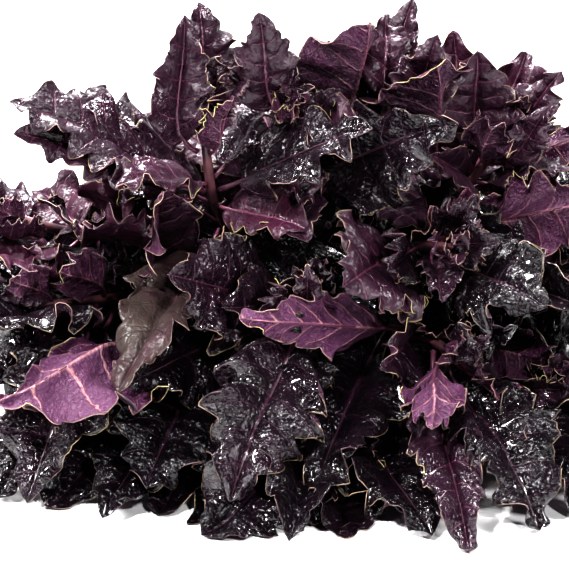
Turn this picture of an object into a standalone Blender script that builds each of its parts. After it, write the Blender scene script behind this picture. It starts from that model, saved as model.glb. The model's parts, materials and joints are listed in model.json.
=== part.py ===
"""A bunch of purple basil, lying on a flat surface with its leafy heads towards -Y.

Thirteen cut stems are held together where a hand would grip them, and fan out to a low
mound of toothed leaves. Every stem is one solid and every leaf, with its petiole, is one
solid. The bunch rests on z = 0, and the middle of its footprint is the origin.

Run with: blender --background --python part.py
"""

import itertools
import math

import bmesh
import bpy
from mathutils import Matrix, Vector
from mathutils.bvhtree import BVHTree

MM = 0.001

# The stems. Each runs from its cut end, through the grip, along its way to the tip (mm).
GRIP_Y = 75.0
CUT_LENGTH = (60.0, 52.0, 64.0, 56.0)
CUT_SPLAY = 1.15
STEM_RADIUS_CUT = 2.2
STEM_RADIUS_TIP = 1.0
NODE_SWELLING = 0.45
STEM_RINGS = 14
STEM_SIDES = 8

# stem number: (x, z) in the grip, then points on the way, the last one being the tip.
STEMS = {
    1: ((-4.5, 19.5), (-17, 15, 52), (-23, -30, 78), (-25, -43, 94), (-27, -46, 119)),
    2: ((2, 19.5), (20, 8, 74), (31, -20, 101), (39, -28, 128)),
    3: ((9, 19.5), (46, 14, 60), (65, -14, 84), (76, -24, 107)),
    4: ((15, 9.5), (66, 24, 38), (92, -4, 56), (113, -22, 70)),
    5: ((-8.5, 14), (-46, 20, 46), (-71, -20, 66), (-96, -36, 78)),
    6: ((-10.5, 8.5), (-36, 14, 30), (-60, -38, 49), (-84, -58, 54)),
    7: ((-14, 3), (-20, 15, 17), (-28, -40, 31), (-46, -72, 30)),
    8: ((-1, 14), (-3, 12, 55), (0, -24, 88), (4, -38, 118)),
    9: ((-3.5, 8.5), (-1, 12, 27), (4, -48, 47), (9, -84, 58)),
    10: ((0, 3), (6, 15, 8), (14, -40, 15), (22, -80, 20)),
    11: ((4, 8.5), (24, 12, 24), (42, -45, 41), (58, -82, 44)),
    12: ((7, 14), (27, 12, 45), (44, -36, 67), (54, -68, 78)),
    13: ((12, 3), (36, 16, 10), (64, -32, 20), (90, -58, 26)),
}

# The leaves (mm). A leaf starts at a share of its stem's length, ends with its tip at a
# point, and turns its upper side to face a direction. bow is how far it arches.
# name: (stem, share, tip, upper side faces, width, bow)
LEAVES = {
    "01_a": (1, 0.86, (-88, -52, 122), (0.2, -0.5, 0.8), 39, 0.30),
    "01_b": (1, 0.86, (27, -62, 116), (0.0, -0.5, 0.8), 34, 0.25),
    "01_c": (1, 0.96, (-28, -30, 149), (0.3, -0.9, 0.1), 24, 0.20),
    "01_d": (1, 0.93, (-32, -50, 149), (0, -1, 0.1), 25, 0.20),
    "01_e": (1, 0.72, (-52, -102, 42), (0.1, -0.7, 0.7), 34, 0.55),
    "02_a": (2, 0.80, (23, -50, 140), (-0.1, 0.8, -0.3), 52, -0.20),
    "02_b": (2, 0.91, (50, -34, 139), (0.3, -0.8, 0.5), 24, 0.30),
    "02_c": (2, 0.82, (44, 4, 143), (0.1, -0.9, 0.3), 22, 0.15),
    "02_d": (2, 0.70, (14, 32, 120), (0.0, -0.4, 0.9), 36, 0.35),
    "03_a": (3, 0.82, (50, -44, 131), (0.0, 0.8, -0.4), 45, -0.20),
    "03_b": (3, 0.91, (92, -26, 125), (-0.3, -0.8, 0.3), 28, 0.30),
    "03_c": (3, 0.88, (84, 4, 124), (0.1, -0.9, 0.1), 26, 0.25),
    "03_d": (3, 0.80, (106, -12, 100), (0.2, 0.5, -0.8), 37, -0.30),
    "04_a": (4, 0.80, (106, -76, 60), (0.2, -0.4, 0.9), 42, 0.45),
    "04_b": (4, 0.92, (134, -52, 52), (0.5, -0.5, 0.7), 37, 0.50),
    "04_c": (4, 0.86, (124, 18, 76), (0.3, -0.2, 0.9), 39, 0.40),
    "04_d": (4, 0.76, (116, -46, 22), (0.6, -0.6, 0.5), 39, 0.50),
    "05_a": (5, 0.84, (-120, -62, 68), (0.0, -0.4, 0.9), 40, 0.35),
    "05_b": (5, 0.74, (-55, -40, 96), (-0.2, -0.9, 0.3), 31, 0.25),
    "05_c": (5, 0.80, (-89, 14, 71), (-0.1, -0.5, 0.8), 34, 0.35),
    "05_d": (5, 0.92, (-115, -20, 82), (0.2, -0.5, 0.8), 33, 0.30),
    "06_a": (6, 0.84, (-96, -88, 63), (0.0, -0.6, 0.8), 39, 0.35),
    "06_b": (6, 0.78, (-18, -80, 84), (-0.2, 0.6, -0.8), 37, -0.25),
    "06_c": (6, 0.84, (-108, -70, 42), (0.2, 0.7, -0.6), 40, -0.30),
    "06_d": (6, 0.76, (-92, -96, 2), (-0.3, -0.7, 0.6), 37, 0.50),
    "07_a": (7, 0.89, (-93, -114, 38), (0.1, 0.75, -0.55), 50, -0.30),
    "07_b": (7, 0.74, (-76, -104, 6), (-0.1, -0.5, 0.85), 39, 0.45),
    "07_c": (7, 0.78, (-40, -106, -5), (-0.1, -0.6, 0.8), 39, 0.50),
    "08_a": (8, 0.97, (-8, -50, 150), (0.1, -1, 0), 24, 0.10),
    "08_b": (8, 0.86, (62, -54, 106), (0.0, -0.6, 0.8), 40, 0.30),
    "08_c": (8, 0.80, (-14, 34, 114), (0.0, -0.3, 0.9), 40, 0.35),
    "09_a": (9, 0.92, (-17, -114, 10), (-0.1, -0.8, 0.6), 46, 0.50),
    "09_b": (9, 0.80, (-36, -84, 74), (0.0, -0.85, 0.4), 39, 0.25),
    "09_c": (9, 0.72, (-44, -96, 46), (0.1, -0.8, 0.5), 39, 0.40),
    "10_a": (10, 0.96, (-25, -124, 3), (0, -0.4, 0.9), 49, 0.35),
    "10_b": (10, 0.94, (46, -114, -5), (0.1, -0.5, 0.85), 39, 0.40),
    "11_a": (11, 0.84, (-14, -104, 58), (0.0, 0.9, -0.2), 31, -0.25),
    "11_b": (11, 0.76, (13, -112, 28), (0.0, -0.7, 0.7), 42, 0.45),
    "11_c": (11, 0.96, (46, -112, 34), (0.1, 0.7, -0.6), 29, -0.20),
    "11_d": (11, 0.92, (57, -132, -3), (0.1, -0.8, 0.5), 27, 0.40),
    "11_e": (11, 0.94, (78, -114, -5), (0.3, -0.7, 0.6), 34, 0.50),
    "12_a": (12, 0.84, (12, -84, 63), (-0.1, -0.9, 0.4), 40, 0.30),
    "12_b": (12, 0.80, (100, -60, 90), (0.0, 0.6, -0.7), 45, -0.20),
    "12_c": (12, 0.92, (82, -90, 66), (0.2, -0.8, 0.55), 37, 0.40),
    "12_d": (12, 0.74, (94, -78, 48), (0.2, -0.8, 0.5), 40, 0.40),
    "13_a": (13, 0.82, (86, -102, 14), (0.1, -0.5, 0.85), 42, 0.40),
    "13_b": (13, 0.92, (130, -78, -5), (0.3, -0.5, 0.8), 39, 0.45),
}

# The shape that all the leaves share.
PETIOLE_SHARE = 0.17
PETIOLE_RADIUS = 1.1
PETIOLE_RINGS = 2
BLADE_RINGS = 11
BLADE_THICKNESS = 0.7
BLADE_FOLD = 0.42
BLADE_RECURVE = 0.50
TOOTH = 0.09
RUFFLE = 0.07
TIP_POINT = 1.2
FLOOR = 0.45
FLOOR_EASE = 3.0

# Leaves keep this far from each other and from the stems.
CLEARANCE = 0.45
TURN_STEP = 6.0
MOST_TURN = 42.0
ROLLS = (0.0, 15.0, -15.0, 30.0, -30.0)
NARROWER = (1.0, 0.85, 0.7)

STEM_COLOUR = (0.10, 0.030, 0.055, 1.0)
LEAF_COLOUR = (0.020, 0.008, 0.018, 1.0)
UNDERSIDE_COLOUR = (0.16, 0.030, 0.11, 1.0)
WINE_COLOUR = (0.055, 0.010, 0.026, 1.0)
UNDERSIDES = ("06_b", "07_a", "11_a", "11_c", "12_b", "03_d")
WINES = ("02_a", "03_a", "03_c", "05_b", "06_c", "08_a")


def clear_scene():
    for piece in list(bpy.data.objects):
        bpy.data.objects.remove(piece)


def finish_material(name, colour, roughness):
    material = bpy.data.materials.new(name)
    material.use_nodes = True
    shader = material.node_tree.nodes["Principled BSDF"]
    shader.inputs["Base Color"].default_value = colour
    shader.inputs["Roughness"].default_value = roughness
    shader.inputs["Metallic"].default_value = 0.0
    return material


def split_alike(skin, near, far):
    """Cuts the quads between two rings, with the cuts below a leaf matching those above it."""
    count = len(near)
    for i in range(count):
        j = (i + 1) % count
        quad = skin.faces.get((near[i], near[j], far[j], far[i]))
        cut = (near[i], far[j]) if i < count // 2 else (near[j], far[i])
        bmesh.utils.face_split(quad, *cut)


def loft(name, bunch, rings, first_point, last_point, material):
    """One closed skin through the rings with a pointed cap at either end, placed by its first point."""
    skin = bmesh.new()
    rim = [skin.verts.new(point) for point in rings[0]]
    first_rim = list(rim)
    edges = [skin.edges.new((rim[i - 1], rim[i])) for i in range(len(rim))]
    for ring in rings[1:]:
        made = bmesh.ops.extrude_edge_only(skin, edges=edges)["geom"]
        new_points = {piece for piece in made if isinstance(piece, bmesh.types.BMVert)}
        next_rim = []
        for point, place in zip(rim, ring):
            risen = next(e.other_vert(point) for e in point.link_edges if e.other_vert(point) in new_points)
            risen.co = place
            next_rim.append(risen)
        edges = [piece for piece in made if isinstance(piece, bmesh.types.BMEdge)]
        edges = [e for e in edges if all(point in new_points for point in e.verts)]
        split_alike(skin, rim, next_rim)
        rim = next_rim
    for cap, point in ((first_rim, first_point), (rim, last_point)):
        poked = bmesh.ops.poke(skin, faces=[skin.faces.new(cap)])
        poked["verts"][0].co = point
    bmesh.ops.recalc_face_normals(skin, faces=skin.faces)
    bmesh.ops.translate(skin, verts=skin.verts, vec=-first_point)
    mesh = bpy.data.meshes.new(name)
    skin.to_mesh(mesh)
    skin.free()
    mesh.shade_smooth()
    mesh.materials.append(material)
    piece = bpy.data.objects.new(name, mesh)
    piece.location = first_point
    piece.parent = bunch
    bpy.context.scene.collection.objects.link(piece)
    return piece


def collision_tree(rings, first_point, last_point):
    """The same skin as loft makes, for asking what it touches."""
    side = len(rings[0])
    points = [point for ring in rings for point in ring] + [first_point, last_point]
    faces = []
    for row in range(len(rings) - 1):
        for i in range(side):
            a, b = row * side + i, row * side + (i + 1) % side
            if i < side // 2:
                faces += [(a, b, b + side), (a, b + side, a + side)]
            else:
                faces += [(a, b, a + side), (b, b + side, a + side)]
    last = (len(rings) - 1) * side
    for i in range(side):
        faces.append((i, (i + 1) % side, len(points) - 2))
        faces.append((last + i, last + (i + 1) % side, len(points) - 1))
    return BVHTree.FromPolygons(points, faces, all_triangles=True)


def along(points, share):
    """The point and the heading at a share of the way along a line of points."""
    lengths = [(b - a).length for a, b in zip(points, points[1:])]
    left = share * sum(lengths)
    for a, b, length in zip(points, points[1:], lengths):
        if left <= length:
            break
        left -= length
    return a.lerp(b, min(1.0, left / length)), (b - a).normalized()


def smooth_way(knots, steps=12):
    """A Catmull-Rom curve through the knots."""
    ends = [knots[0] * 2 - knots[1], *knots, knots[-1] * 2 - knots[-2]]
    way = []
    for before, a, b, after in zip(ends, ends[1:], ends[2:], ends[3:]):
        for step in range(steps):
            t = step / steps
            way.append(
                0.5 * (2 * a + (b - before) * t
                       + (2 * before - 5 * a + 4 * b - after) * t**2
                       + (3 * a - before - 3 * b + after) * t**3)
            )
    return [*way, knots[-1]]


def stem_way(number):
    """The middle line of a stem in metres, from its cut end to its tip."""
    (x, z), *rest = STEMS[number]
    cut = CUT_LENGTH[number % len(CUT_LENGTH)]
    cut_z = z if z > 4 else STEM_RADIUS_CUT
    knots = [(x * CUT_SPLAY, GRIP_Y + cut, cut_z), (x, GRIP_Y, z), *rest]
    return smooth_way([Vector(knot) * MM for knot in knots])


def frame_at(heading, up):
    """The sideways and upward directions square to a heading."""
    side = heading.cross(up).normalized()
    return side, side.cross(heading).normalized()


def stem_radius(number, share):
    swell = sum(
        math.exp(-(((share - row[1]) / 0.02) ** 2)) for row in LEAVES.values() if row[0] == number
    )
    taper = STEM_RADIUS_CUT + (STEM_RADIUS_TIP - STEM_RADIUS_CUT) * share**1.4
    return (taper + NODE_SWELLING * min(swell, 1.0)) * MM


def stem_rings(number):
    way = stem_way(number)
    rings = []
    for row in range(STEM_RINGS):
        share = row / (STEM_RINGS - 1)
        middle, heading = along(way, share)
        side, up = frame_at(heading, Vector((0.2, 0.3, 1.0)))
        radius = stem_radius(number, share)
        turns = [2 * math.pi * i / STEM_SIDES for i in range(STEM_SIDES)]
        ring = [middle + (side * math.cos(a) + up * math.sin(a)) * radius for a in turns]
        rings.append([Vector((p.x, p.y, max(p.z, 0.0))) for p in ring])
    cut, tip = along(way, 0.0), along(way, 1.0)
    return rings, cut[0] - cut[1] * 0.3 * MM, tip[0] + tip[1] * 2.0 * MM


def blade_outline(share):
    """Half the blade's width at a share of its length, from 0 to 1 at the widest."""
    widest = 0.38
    if share <= 0 or share >= 1:
        return 0.0
    near, far = 0.62, 0.62 * (1 - widest) / widest
    peak = widest**near * (1 - widest) ** far
    return (share**near * (1 - share) ** far) / peak


def above_floor(point):
    """Where a leaf would go through the surface, it lies along it instead."""
    lowest = (FLOOR + FLOOR_EASE) * MM
    if point.z < lowest:
        eased = FLOOR * MM + FLOOR_EASE * MM * math.exp((point.z - lowest) / (FLOOR_EASE * MM))
        return Vector((point.x, point.y, eased))
    return point


def midrib(start, leaving, tip, up, bow):
    """Points and headings down the middle of a leaf, which arches by bow."""
    chord = tip - start
    arriving = (chord.normalized() - up * bow).normalized()
    handles = (start, start + leaving * chord.length * 0.3, tip - arriving * chord.length * 0.36, tip)
    count = PETIOLE_RINGS + BLADE_RINGS
    shares = [PETIOLE_SHARE * row / PETIOLE_RINGS for row in range(PETIOLE_RINGS)]
    shares += [PETIOLE_SHARE + (1 - PETIOLE_SHARE) * row / (BLADE_RINGS - 1) for row in range(BLADE_RINGS)]
    points, headings = [], []
    for t in shares[:count]:
        a, b, c, d = handles
        points.append(a * (1 - t) ** 3 + b * 3 * t * (1 - t) ** 2 + c * 3 * t**2 * (1 - t) + d * t**3)
        slope = (b - a) * (1 - t) ** 2 + (c - b) * 2 * t * (1 - t) + (d - c) * t**2
        headings.append(slope.normalized())
    return points, headings


def leaf_rings(way, row, facing, tip, spare=0.0):
    """The rings of one leaf, and the points at its ends. spare thickens it for a test."""
    number, share, _, _, width, bow = row
    joint, stem_heading = along(way, share)
    chord = tip - joint
    outward = (chord - stem_heading * chord.dot(stem_heading)).normalized()
    leaving = (outward + stem_heading * 0.55).normalized()
    start = joint + outward * (stem_radius(number, share) + 1.2 * MM)
    level = chord.normalized()
    up = (facing - level * facing.dot(level)).normalized()
    points, headings = midrib(start, leaving, tip, up, bow)
    rings = []
    for index, (middle, heading) in enumerate(zip(points, headings)):
        side, upward = frame_at(heading, up)
        blade = (index - PETIOLE_RINGS) / (BLADE_RINGS - 1)
        tooth = 1 + (TOOTH if index % 2 else -TOOTH) * math.sin(math.pi * max(0.0, min(1.0, blade)))
        half = max(PETIOLE_RADIUS, 0.5 * width * blade_outline(blade) * tooth)
        flat = min(1.0, (half - PETIOLE_RADIUS) / (4 * PETIOLE_RADIUS))
        thick = (PETIOLE_RADIUS * (1 - flat) + 0.5 * BLADE_THICKNESS * flat + spare) * MM
        wave = RUFFLE * (1 if index % 2 else -1) * flat
        section = []
        for across in (-1.0, -0.5, 0.0, 0.5, 1.0):
            rise = flat * (BLADE_FOLD * abs(across) - BLADE_RECURVE * across**2) + wave * across**3
            lies = middle + (side * across * half + upward * rise * half) * MM
            section.append(above_floor(lies))
        bulge = [thick * (0.8 + 0.2 * flat), thick, thick * (0.8 + 0.2 * flat)]
        top = [p + upward * b for p, b in zip(section[1:4], bulge)]
        under = [p - upward * b for p, b in zip(section[1:4], bulge)]
        left, right = section[0] - side * spare * MM, section[4] + side * spare * MM
        rings.append([left, *top, right, *reversed(under)])
    groove = points[0] - headings[0] * 0.4 * MM + frame_at(headings[0], up)[1] * 0.45 * MM
    return rings, groove, above_floor(points[-1] + headings[-1] * TIP_POINT * MM)


def ways_to_turn():
    """Turns of a leaf about its joint, the smallest first, as (sideways, up, roll) degrees."""
    reach = int(MOST_TURN / TURN_STEP)
    grid = [(i, j) for i in range(-reach, reach + 1) for j in range(-reach, reach + 1)]
    tries = [(i * TURN_STEP, j * TURN_STEP, roll) for i, j in grid for roll in ROLLS]
    return sorted(tries, key=lambda t: (math.hypot(t[0], t[1]) + abs(t[2]) / 3, t))


def place_leaf(way, row, others, tries):
    """Turns the leaf by as little as it takes to hang clear of the others."""
    joint = along(way, row[1])[0]
    tip, facing, width = Vector(row[2]) * MM, Vector(row[3]).normalized(), row[4]
    chord = (tip - joint).normalized()
    side, up = frame_at(chord, facing)
    for narrower, (sideways, upward, roll) in itertools.product(NARROWER, tries):
        row = (*row[:4], narrower * width, row[5])
        turn = Matrix.Rotation(math.radians(sideways), 3, up) @ Matrix.Rotation(math.radians(upward), 3, side)
        moved = joint + turn @ (tip - joint)
        faces = Matrix.Rotation(math.radians(roll), 3, chord) @ turn @ facing
        tested = collision_tree(*leaf_rings(way, row, faces, moved, spare=CLEARANCE))
        if not any(tested.overlap(other) for other in others):
            return leaf_rings(way, row, faces, moved), (sideways, upward, roll, narrower)
    raise RuntimeError(f"the leaf of stem {row[0]} with its tip at {row[2]} has no room")


def rest_at_origin(bunch, pieces):
    """Rests the bunch on z = 0 with the middle of its footprint at the origin."""
    corners = [piece.location + vertex.co for piece in pieces for vertex in piece.data.vertices]
    low = Vector([min(corner[axis] for corner in corners) for axis in range(3)])
    high = Vector([max(corner[axis] for corner in corners) for axis in range(3)])
    bunch.location = Vector((-(low.x + high.x) / 2, -(low.y + high.y) / 2, -low.z))
    print(f"moved by {bunch.location * 1000} mm, size {(high - low) * 1000} mm")


def build():
    clear_scene()
    bunch = bpy.data.objects.new("basil_bunch", None)
    bpy.context.scene.collection.objects.link(bunch)
    stem_finish = finish_material("stem", STEM_COLOUR, 0.45)
    finishes = {
        "leaf": finish_material("leaf", LEAF_COLOUR, 0.28),
        "underside": finish_material("underside", UNDERSIDE_COLOUR, 0.5),
        "wine": finish_material("wine", WINE_COLOUR, 0.35),
    }
    pieces, trees = [], []
    for number in STEMS:
        shape = stem_rings(number)
        pieces.append(loft(f"stem_{number:02}", bunch, *shape, stem_finish))
        trees.append(collision_tree(*shape))
    tries = ways_to_turn()
    for name, row in LEAVES.items():
        shape, turned = place_leaf(stem_way(row[0]), row, trees, tries)
        kind = "underside" if name in UNDERSIDES else "wine" if name in WINES else "leaf"
        pieces.append(loft(f"leaf_{name}", bunch, *shape, finishes[kind]))
        trees.append(collision_tree(*shape))
        print(f"leaf_{name} turned {turned}")
    rest_at_origin(bunch, pieces)


build()
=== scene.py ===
# %% [markdown]
# # A bunch of purple basil
# The bunch lies on its side: ruffled, near-black leaves in a heap at the front, and bare
# cut stems gathered behind them. The frame holds a plain solid for each stem and each
# large leaf. Here every one of them gets its real skin, and the smaller leaves that fill
# the heap are grown from the same stems.

import json
import math

import bmesh
import bpy
import numpy as np
from mathutils import Matrix, Vector
from mathutils.bvhtree import BVHTree


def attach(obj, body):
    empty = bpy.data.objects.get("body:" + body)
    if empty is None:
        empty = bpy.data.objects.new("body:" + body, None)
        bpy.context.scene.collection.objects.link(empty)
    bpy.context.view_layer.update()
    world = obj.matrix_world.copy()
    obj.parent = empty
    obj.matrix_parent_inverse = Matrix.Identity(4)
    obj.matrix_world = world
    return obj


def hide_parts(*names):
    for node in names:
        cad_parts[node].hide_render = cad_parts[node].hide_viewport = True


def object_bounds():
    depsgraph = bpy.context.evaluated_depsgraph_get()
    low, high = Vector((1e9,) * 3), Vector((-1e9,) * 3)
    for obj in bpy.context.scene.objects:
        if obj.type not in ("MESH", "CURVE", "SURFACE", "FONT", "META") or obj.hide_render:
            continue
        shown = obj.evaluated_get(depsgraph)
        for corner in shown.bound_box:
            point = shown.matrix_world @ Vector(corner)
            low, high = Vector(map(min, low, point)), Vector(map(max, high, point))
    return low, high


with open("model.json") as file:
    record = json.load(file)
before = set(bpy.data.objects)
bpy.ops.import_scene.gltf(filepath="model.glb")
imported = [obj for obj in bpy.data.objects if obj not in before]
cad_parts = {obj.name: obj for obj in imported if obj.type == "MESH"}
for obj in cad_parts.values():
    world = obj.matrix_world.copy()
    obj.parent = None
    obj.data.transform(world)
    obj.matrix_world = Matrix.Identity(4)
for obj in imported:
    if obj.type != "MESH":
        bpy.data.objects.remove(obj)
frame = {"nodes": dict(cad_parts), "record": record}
cad_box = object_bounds()
MM = 0.001
print("CAD box in mm:", [[round(c / MM, 1) for c in corner] for corner in cad_box])

# %% [markdown]
# ## The studio
# The camera stands low in front of the leaves, and looks a little down on them. A long
# lens from 0.7 m keeps the leaves' sizes true. It could be aimed at the middle of the whole
# bunch, but the stems would pull it back, so it aims at the front of the heap.

# %% Camera
TARGET = Vector((-7.4, -57.0, 60.0)) * MM
CAMERA_DISTANCE = 0.70
CAMERA_ELEVATION = math.radians(20.0)
WIDTH_AT_TARGET = 189.66667 * MM
NEAREST = 0.01

camera_data = bpy.data.cameras.new("camera")
camera_data.lens = camera_data.sensor_width * CAMERA_DISTANCE / WIDTH_AT_TARGET
camera_data.clip_start = NEAREST
camera = bpy.data.objects.new("camera", camera_data)
away = Vector((0.0, -math.cos(CAMERA_ELEVATION), math.sin(CAMERA_ELEVATION)))
camera.location = TARGET + away * CAMERA_DISTANCE
camera.rotation_euler = (-away).to_track_quat("-Z", "Y").to_euler()
bpy.context.scene.collection.objects.link(camera)
bpy.context.scene.camera = camera
bpy.context.scene.view_settings.view_transform = "Standard"
bpy.context.scene.view_settings.look = "High Contrast"
print("lens", round(camera_data.lens, 1), "mm")

# %% [markdown]
# ## Light
# Near-black glossy leaves show what they mirror, so the light is made for the mirrored
# shapes. One wide soft box hangs above and behind the heap and draws a sheen along the
# leaves that lean away. A few small ones stand to the sides, and each wet blister turns
# them into a crisp spark. The room in front is dim, which keeps the leaves dark.

# %% Lamps and world
LAMPS_AIM_AT = Vector((0.0, -0.03, 0.06))


def soft_box(name, place, size, power):
    lamp = bpy.data.lights.new(name, "AREA")
    lamp.shape = "RECTANGLE"
    lamp.size, lamp.size_y = size
    lamp.energy = power
    stand = bpy.data.objects.new(name, lamp)
    stand.location = Vector(place)
    aim = LAMPS_AIM_AT - stand.location
    stand.rotation_euler = aim.to_track_quat("-Z", "Y").to_euler()
    bpy.context.scene.collection.objects.link(stand)
    print(name, power, "W")


soft_box("overhead_box", (-0.10, 0.34, 0.80), (0.36, 0.26), 18.0)
soft_box("left_box", (-0.70, -0.25, 0.70), (0.16, 0.22), 9.5)
soft_box("right_box", (0.70, -0.35, 0.60), (0.14, 0.18), 6.0)
soft_box("left_spark", (-0.30, -0.60, 0.85), (0.06, 0.06), 8.0)
soft_box("right_spark", (0.25, -0.75, 0.60), (0.05, 0.05), 4.5)

world = bpy.data.worlds.new("studio")
bpy.context.scene.world = world
world.use_nodes = True
nodes, links = world.node_tree.nodes, world.node_tree.links
nodes.clear()
output = nodes.new("ShaderNodeOutputWorld")
choose = nodes.new("ShaderNodeMixShader")
path = nodes.new("ShaderNodeLightPath")
backdrop = nodes.new("ShaderNodeBackground")
room = nodes.new("ShaderNodeBackground")
where = nodes.new("ShaderNodeTexCoord")
apart = nodes.new("ShaderNodeSeparateXYZ")
ramp = nodes.new("ShaderNodeValToRGB")
DIM_FRONT, BRIGHT_BACK = (0.48, (0.020, 0.019, 0.023, 1)), (0.95, (0.95, 0.96, 1.0, 1))
for stop, (position, colour) in zip(ramp.color_ramp.elements, (DIM_FRONT, BRIGHT_BACK)):
    stop.position, stop.color = position, colour
halfway = nodes.new("ShaderNodeMath")
halfway.operation = "MULTIPLY_ADD"
halfway.inputs[1].default_value = 0.5
halfway.inputs[2].default_value = 0.5
links.new(where.outputs["Generated"], apart.inputs[0])
links.new(apart.outputs["Y"], halfway.inputs[0])
links.new(halfway.outputs[0], ramp.inputs[0])
links.new(ramp.outputs[0], room.inputs["Color"])
links.new(path.outputs["Is Camera Ray"], choose.inputs[0])
links.new(room.outputs[0], choose.inputs[1])
links.new(backdrop.outputs[0], choose.inputs[2])
links.new(choose.outputs[0], output.inputs[0])
print("5 lamps, and a room that is dim in front")

# %% [markdown]
# ## Floor
# A plain white table, made of one large plane. Only the soft shadow under the front leaves
# shows on it.

# %% Floor
def select_only(*things):
    """Selects these and nothing else. The first one becomes the active one."""
    bpy.ops.object.select_all(action="DESELECT")
    for thing in things:
        thing.select_set(True)
    if things:
        bpy.context.view_layer.objects.active = things[0]


low, high = cad_box
FLOOR_SIZE, FLOOR_DROP = 6.0, 0.2 * MM
select_only()
bpy.ops.mesh.primitive_plane_add(size=FLOOR_SIZE, location=(0.0, 0.0, low.z - FLOOR_DROP))
floor = bpy.context.object
floor.name = "floor"
bpy.ops.object.transform_apply(location=True, rotation=True, scale=True)
floor_paint = bpy.data.materials.new("white table")
floor_paint.use_nodes = True
floor_shader = floor_paint.node_tree.nodes["Principled BSDF"]
floor_shader.inputs["Base Color"].default_value = (0.93, 0.93, 0.93, 1)
floor_shader.inputs["Roughness"].default_value = 0.6
floor_shader.inputs["Specular IOR Level"].default_value = 0.2
floor.data.materials.append(floor_paint)
print("floor at", round(floor.data.vertices[0].co.z / MM, 1), "mm")

# %% [markdown]
# ## Reading a stem or a leaf
# Every solid of the frame is a skin over rings of points, closed at each end by a point
# with eight edges. Walking outwards from that point, one step at a time, gives the rings
# back in order. Their middles are the stem's or the midrib's line, and the two points
# that are farthest apart in a ring are the leaf's margins. The lines could be typed in a
# second time, but read from the solids they can't drift away from them.

# %% Rings of a solid
RING_POINTS = 8


def walk_from(pole):
    seen, layer, layers = {pole}, [pole], []
    while layer:
        layers.append(layer)
        around = {edge.other_vert(vert) for vert in layer for edge in vert.link_edges}
        layer = sorted(around - seen, key=lambda vert: vert.index)
        seen |= around
    return layers


def rings_of(node, first):
    """The rings of a CAD node as arrays, from the end that first() picks, and that end's point."""
    skin = bmesh.new()
    skin.from_mesh(frame["nodes"][node].data)
    bmesh.ops.remove_doubles(skin, verts=skin.verts, dist=1e-6)
    skin.verts.index_update()
    poles = [vert for vert in skin.verts if len(vert.link_edges) == RING_POINTS]
    walks = [walk_from(pole) for pole in poles]
    walks = [walk for walk in walks if [len(layer) for layer in walk[1:9]] == [RING_POINTS] * 8]
    walk = min(walks, key=first)
    rings = [np.array([vert.co for vert in layer]) for layer in walk]
    skin.free()
    return rings


def unit(rows):
    return rows / np.linalg.norm(rows, axis=-1, keepdims=True)


def ring_size(layer):
    middle = np.mean([vert.co for vert in layer], axis=0)
    return max(np.linalg.norm(np.array(vert.co) - middle) for vert in layer)


example = rings_of("leaf_01_a", first=lambda walk: ring_size(walk[2]))
print("leaf_01_a is read as", len(example), "layers of points, from its stalk to its tip")


# %% [markdown]
# ## A plan for each leaf
# A leaf is laid out along its midrib: points from the joint on the stem to the tip, the
# direction to its right-hand side, the direction its upper side faces, and its
# half-width. A leaf of the frame has its plan read from its solid. The petiole comes
# first, with two narrow rings, and the end of a solid is off-centre on the upper side,
# which tells top from bottom.

# %% Plans read from the solids
PETIOLE_RINGS = 2
NARROW = 1.8 * MM


def plan_of_node(node):
    rings = rings_of(node, first=lambda walk: ring_size(walk[2]))
    pole, rings = rings[0][0], rings[1:]
    middles, sides, halves = [], [], []
    for ring in rings:
        gaps = np.linalg.norm(ring[:, None] - ring[None], axis=2)
        i, j = np.unravel_index(gaps.argmax(), gaps.shape)
        across = ring[j] - ring[i]
        width = np.linalg.norm(across)
        if width > 0:
            off = (ring - (ring[i] + ring[j]) / 2) @ across / width
            rib = ring[np.argsort(np.abs(off))[:2]] if len(ring) == RING_POINTS else ring
        else:
            rib = ring
        middles.append(rib.mean(axis=0))
        sides.append(across)
        halves.append(width / 2)
    middles, sides, halves = np.array(middles), np.array(sides), np.array(halves)
    headings = unit(np.gradient(middles, axis=0))
    widest = int(halves.argmax())
    sides[widest] = unit(sides[widest])
    for order in (range(widest - 1, -1, -1), range(widest + 1, len(rings))):
        step = 1 if order.step < 0 else -1
        for k in order:
            before = sides[k + step]
            if halves[k] < NARROW:
                sides[k] = before
            else:
                sides[k] = unit(sides[k]) * (1 if sides[k] @ before > 0 else -1)
            sides[k] = unit(sides[k] - headings[k] * (sides[k] @ headings[k]))
    ups = np.cross(sides, headings)
    if (pole - middles[0]) @ ups[0] < 0:
        sides, ups = -sides, -ups
    halves[1:-1] = (halves[:-2] + 2 * halves[1:-1] + halves[2:]) / 4
    return {"middle": middles, "side": sides, "up": ups, "half": halves, "blade": PETIOLE_RINGS}


leaf_nodes = sorted(name for name in frame["nodes"] if name.startswith("leaf_"))
stem_nodes = sorted(name for name in frame["nodes"] if name.startswith("stem_"))
plans = {name: plan_of_node(name) for name in leaf_nodes}
halves = [plan["half"].max() / MM for plan in plans.values()]
print(len(plans), "leaves read, half-widths in mm from", round(min(halves), 1), "to", round(max(halves), 1))

# %% [markdown]
# ## A line for each stem
# A stem is simpler: a line from its cut end to its tip, and a radius at each ring. The cut
# ends lie farthest back, which tells the two ends apart.

# %% Stem lines
def line_of_stem(node):
    rings = rings_of(node, first=lambda walk: -walk[0][0].co.y)
    middles = np.array([ring.mean(axis=0) for ring in rings])
    radii = [np.linalg.norm(ring - ring.mean(axis=0), axis=1).mean() for ring in rings]
    return middles, np.array(radii)


stems = {name: line_of_stem(name) for name in stem_nodes}
print(len(stems), "stems read")


# %% [markdown]
# ## Smooth values along a line
# The plans hold about a dozen stations. A cubic through them gives any number of rows
# with no corners.

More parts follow.
